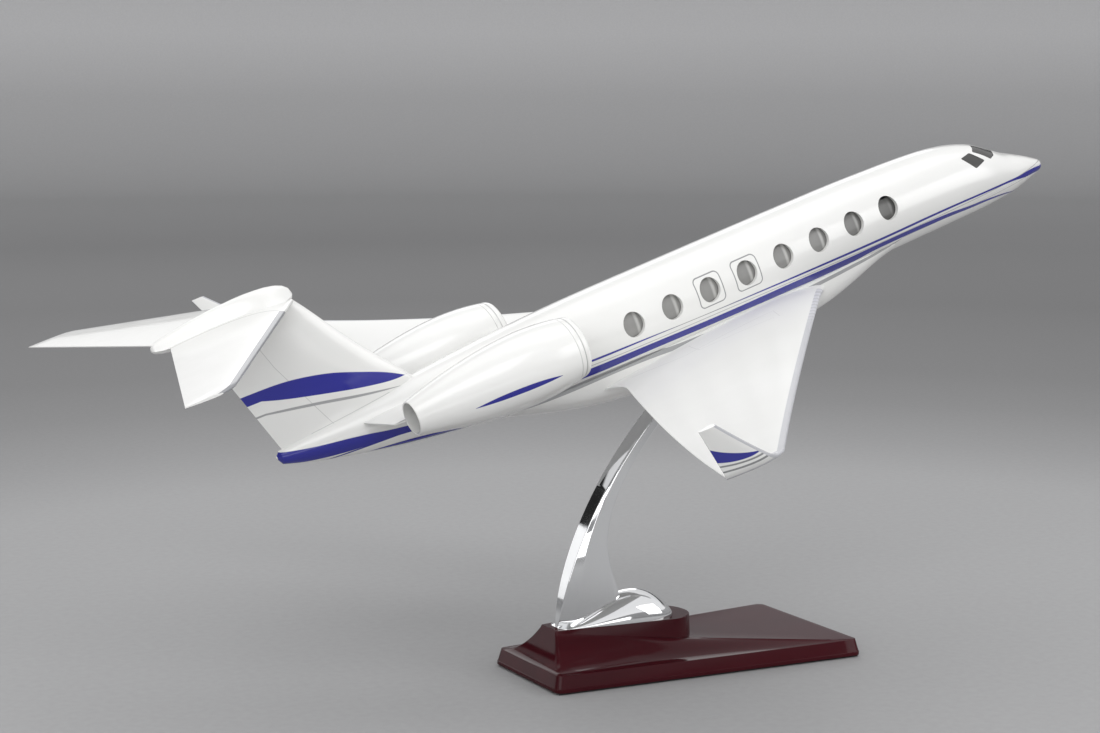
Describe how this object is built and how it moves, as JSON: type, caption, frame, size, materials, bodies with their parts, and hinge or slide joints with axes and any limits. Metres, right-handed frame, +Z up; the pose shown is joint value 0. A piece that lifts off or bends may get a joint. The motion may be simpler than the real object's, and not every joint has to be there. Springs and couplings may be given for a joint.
{
  "type": "desk aircraft model",
  "caption": "Desk display model of a rear-engined T-tail business jet, held nose-up on a curved chrome arm over a lacquered tapered base; the aircraft lifts off the arm.",
  "frame": {"origin": "centre of the base's underside, where it stands on the desk", "axes": "+Z up, +X towards the aircraft's nose, +Y towards the aircraft's port (left) side"},
  "size_m": [0.4712, 0.4702, 0.229],
  "materials": {
    "white_gloss": "glossy white paint with printed blue and grey lines",
    "smoked_glazing": "smoked clear plastic",
    "fan_grey": "satin grey paint",
    "chrome_plate": "mirror chrome plating",
    "maroon_lacquer": "glossy dark maroon lacquer",
    "felt_pad": "black felt",
    "ballast_steel": "plain rolled steel",
    "screw_steel": "zinc plated"
  },
  "bodies": {
    "stand": {"base_shell": "maroon_lacquer", "ballast_plate": "ballast_steel", "base_felt": "felt_pad", "foot_dome": "chrome_plate", "support_arm": "chrome_plate", "arm_screws": "screw_steel"},
    "aircraft": {"fuselage_left_half": "white_gloss", "fuselage_right_half": "white_gloss", "cabin_glazing_left": "smoked_glazing", "cabin_glazing_right": "smoked_glazing", "cockpit_glazing": "smoked_glazing", "belly_fairing": "white_gloss", "belly_socket": "white_gloss", "socket_screws": "screw_steel", "wing_dowels": "screw_steel", "wing_left": "white_gloss", "wing_right": "white_gloss", "winglet_left": "white_gloss", "winglet_right": "white_gloss", "vertical_fin": "white_gloss", "bullet_fairing": "white_gloss", "stabilizer_left": "white_gloss", "stabilizer_right": "white_gloss", "pylon_left": "white_gloss", "pylon_right": "white_gloss", "nacelle_left": "white_gloss", "nacelle_right": "white_gloss", "nozzle_left": "white_gloss", "nozzle_right": "white_gloss", "intake_lip_left": "white_gloss", "intake_lip_right": "white_gloss", "fan_left": "fan_grey", "fan_right": "fan_grey"}
  },
  "joints": [
    {"name": "aircraft_lift_off", "type": "slide", "parent": "stand", "child": "aircraft", "axis": [-0.3123, 0, 0.95], "range_m": [0, 0.03]}
  ]
}
